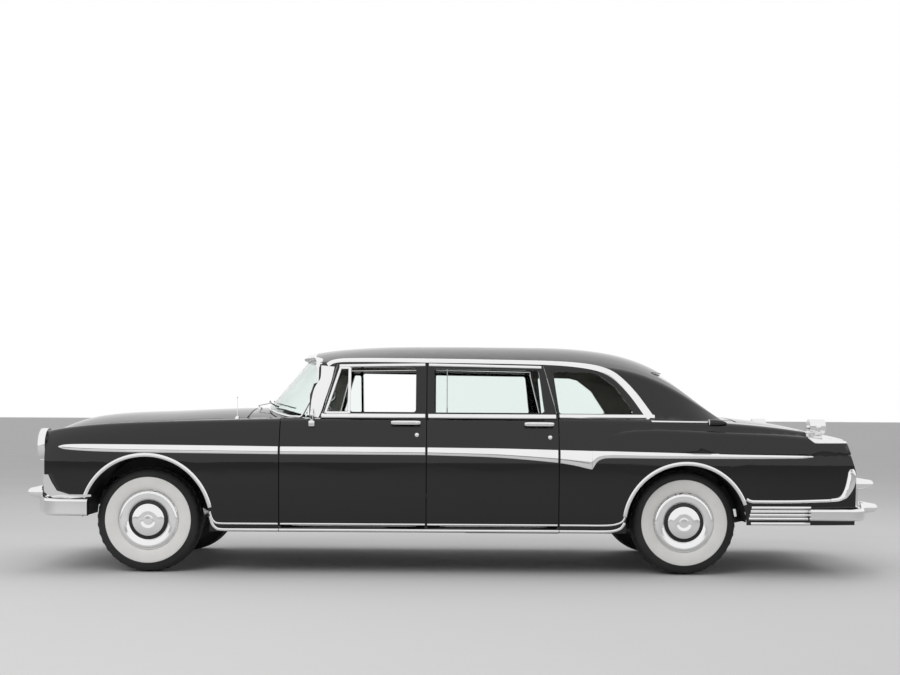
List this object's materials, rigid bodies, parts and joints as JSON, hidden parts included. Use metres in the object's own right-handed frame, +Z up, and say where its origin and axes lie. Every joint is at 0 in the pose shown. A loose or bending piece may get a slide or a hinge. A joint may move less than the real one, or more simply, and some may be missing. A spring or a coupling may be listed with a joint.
{
  "type": "limousine",
  "caption": "Long eight-passenger saloon with a glazed cabin, hinged doors, hood and trunk lid, steered front wheels and wide white-band tyres.",
  "frame": {"origin": "on the ground under the middle of the car's length and width", "axes": "+X to the rear, +Y to the car's right, +Z up"},
  "size_m": [6.16, 2.01, 1.64],
  "materials": {
    "body_paint": "gloss",
    "bright_metal": "polished",
    "clear_glass": "clear",
    "tyre_rubber": "matte with a wide white band",
    "chassis_black": "satin",
    "trim_panel": "woven",
    "leather": "satin",
    "cloth": "woven",
    "dash_paint": "satin",
    "wheel_plastic": "gloss",
    "engine_iron": "painted",
    "exhaust_steel": "dull"
  },
  "bodies": {
    "body": {"roof": "body_paint", "cowl": "body_paint", "front_fenders": "body_paint", "nose_panel": "body_paint", "quarter_panels": "body_paint", "tail_panel": "body_paint", "windscreen": "clear_glass", "body_glass": "clear_glass", "sills": "body_paint", "door_posts": "chassis_black", "floor": "chassis_black", "division": "trim_panel", "front_seat": "leather", "rear_seat": "cloth", "dashboard": "dash_paint", "steering_wheel": "wheel_plastic", "frame_rails": "chassis_black", "cross_members": "chassis_black", "engine_block": "engine_iron", "propeller_shaft": "chassis_black", "rear_axle": "chassis_black", "suspension": "chassis_black", "exhaust": "exhaust_steel", "fuel_tank": "chassis_black", "front_bumper": "bright_metal", "rear_bumper": "bright_metal", "grille": "bright_metal", "headlamp_bezels": "bright_metal", "headlamp_lenses": "clear_glass", "turn_lamps": "bright_metal", "tail_lamps": "bright_metal"},
    "hood": {"hood": "body_paint"},
    "deck_lid": {"deck_lid": "body_paint"},
    "front_door_left": {"front_door_left": "body_paint", "front_door_glass_left": "clear_glass"},
    "rear_door_left": {"rear_door_left": "body_paint", "rear_door_glass_left": "clear_glass"},
    "knuckle_left": {"knuckle_left": "chassis_black"},
    "front_wheel_left": {"front_wheel_left": "bright_metal", "front_tyre_left": "tyre_rubber"},
    "rear_wheel_left": {"rear_wheel_left": "bright_metal", "rear_tyre_left": "tyre_rubber"},
    "front_door_right": {"front_door_right": "body_paint", "front_door_glass_right": "clear_glass"},
    "rear_door_right": {"rear_door_right": "body_paint", "rear_door_glass_right": "clear_glass"},
    "knuckle_right": {"knuckle_right": "chassis_black"},
    "front_wheel_right": {"front_wheel_right": "bright_metal", "front_tyre_right": "tyre_rubber"},
    "rear_wheel_right": {"rear_wheel_right": "bright_metal", "rear_tyre_right": "tyre_rubber"}
  },
  "joints": [
    {"name": "front_door_left_hinge", "type": "hinge", "parent": "body", "child": "front_door_left", "pos_m": [-1.289, -0.95, 0.71], "axis": [0, 0, -1], "range_deg": [0, 65]},
    {"name": "rear_door_left_hinge", "type": "hinge", "parent": "body", "child": "rear_door_left", "pos_m": [-0.256, -0.95, 0.71], "axis": [0, 0, -1], "range_deg": [0, 65]},
    {"name": "front_door_right_hinge", "type": "hinge", "parent": "body", "child": "front_door_right", "pos_m": [-1.289, 0.95, 0.71], "axis": [0, 0, 1], "range_deg": [0, 65]},
    {"name": "rear_door_right_hinge", "type": "hinge", "parent": "body", "child": "rear_door_right", "pos_m": [-0.256, 0.95, 0.71], "axis": [0, 0, 1], "range_deg": [0, 65]},
    {"name": "hood_hinge", "type": "hinge", "parent": "body", "child": "hood", "pos_m": [-1.43, 0, 1.146], "axis": [0, 1, 0], "range_deg": [0, 45]},
    {"name": "deck_lid_hinge", "type": "hinge", "parent": "body", "child": "deck_lid", "pos_m": [1.99, 0, 1.09], "axis": [0, -1, 0], "range_deg": [0, 60]},
    {"name": "steer_left", "type": "hinge", "parent": "body", "child": "knuckle_left", "pos_m": [-2.16, -0.64, 0.372], "axis": [0, 0, 1], "range_deg": [-32, 32]},
    {"name": "steer_right", "type": "hinge", "parent": "body", "child": "knuckle_right", "pos_m": [-2.16, 0.64, 0.372], "axis": [0, 0, 1], "range_deg": [-32, 32]},
    {"name": "front_wheel_left_spin", "type": "hinge", "parent": "knuckle_left", "child": "front_wheel_left", "pos_m": [-2.16, -0.775, 0.372], "axis": [0, 1, 0], "continuous": true},
    {"name": "rear_wheel_left_spin", "type": "hinge", "parent": "body", "child": "rear_wheel_left", "pos_m": [1.637, -0.775, 0.372], "axis": [0, 1, 0], "continuous": true},
    {"name": "front_wheel_right_spin", "type": "hinge", "parent": "knuckle_right", "child": "front_wheel_right", "pos_m": [-2.16, 0.775, 0.372], "axis": [0, 1, 0], "continuous": true},
    {"name": "rear_wheel_right_spin", "type": "hinge", "parent": "body", "child": "rear_wheel_right", "pos_m": [1.637, 0.775, 0.372], "axis": [0, 1, 0], "continuous": true}
  ],
  "couplings": [
    {"joint": "steer_right", "follows": "steer_left", "ratio": 1}
  ]
}
